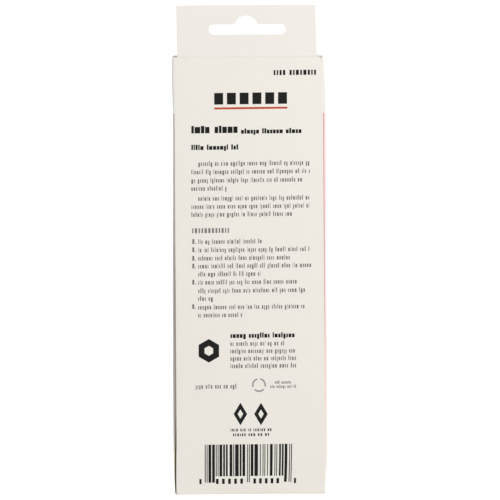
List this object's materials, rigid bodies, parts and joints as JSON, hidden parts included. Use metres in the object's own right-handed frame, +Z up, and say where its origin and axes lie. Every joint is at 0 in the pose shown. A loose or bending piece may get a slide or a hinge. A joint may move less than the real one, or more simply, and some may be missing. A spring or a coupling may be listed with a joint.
{
  "type": "hang-tab folding carton",
  "caption": "Tall, slim folding carton of white board with hinged tuck lids, dust flaps and a hang tab with a round-topped slot.",
  "frame": {"origin": "centre of the carton's footprint on the surface that it stands on, at the middle of its bounding box", "axes": "+Z up along the carton's height, -Y out of the back panel that carries the hang tab, +X towards the seam side"},
  "size_m": [0.0631, 0.0258, 0.1989],
  "materials": {
    "sleeve_board": "satin coated",
    "hang_tab_board": "satin coated",
    "lid_board": "satin coated",
    "dust_flap_board": "matte"
  },
  "bodies": {
    "sleeve": {"carton_sleeve": "sleeve_board"},
    "tab": {"hang_tab": "hang_tab_board"},
    "lid_top": {"top_lid": "lid_board"},
    "lid_bottom": {"bottom_lid": "lid_board"},
    "dust_top_left": {"top_dust_flap_left": "dust_flap_board"},
    "dust_top_right": {"top_dust_flap_right": "dust_flap_board"},
    "dust_bottom_left": {"bottom_dust_flap_left": "dust_flap_board"},
    "dust_bottom_right": {"bottom_dust_flap_right": "dust_flap_board"}
  },
  "joints": [
    {"name": "hang_tab_fold", "type": "hinge", "parent": "sleeve", "child": "tab", "pos_m": [0, -0.012, 0.179], "axis": [-1, 0, 0], "range_deg": [-90, 90]},
    {"name": "top_lid_hinge", "type": "hinge", "parent": "sleeve", "child": "lid_top", "pos_m": [0, 0.0125, 0.17805], "axis": [-1, 0, 0], "range_deg": [0, 180]},
    {"name": "bottom_lid_hinge", "type": "hinge", "parent": "sleeve", "child": "lid_bottom", "pos_m": [0, -0.0125, 0.00065], "axis": [-1, 0, 0], "range_deg": [0, 180]},
    {"name": "top_dust_flap_left_hinge", "type": "hinge", "parent": "sleeve", "child": "dust_top_left", "pos_m": [-0.03002, 0, 0.1774], "axis": [0, 1, 0], "range_deg": [0, 85]},
    {"name": "top_dust_flap_right_hinge", "type": "hinge", "parent": "sleeve", "child": "dust_top_right", "pos_m": [0.02962, 0, 0.1774], "axis": [0, -1, 0], "range_deg": [0, 85]},
    {"name": "bottom_dust_flap_left_hinge", "type": "hinge", "parent": "sleeve", "child": "dust_bottom_left", "pos_m": [-0.03, 0, 0.0013], "axis": [0, -1, 0], "range_deg": [0, 85]},
    {"name": "bottom_dust_flap_right_hinge", "type": "hinge", "parent": "sleeve", "child": "dust_bottom_right", "pos_m": [0.0293, 0, 0.0013], "axis": [0, 1, 0], "range_deg": [0, 85]}
  ]
}
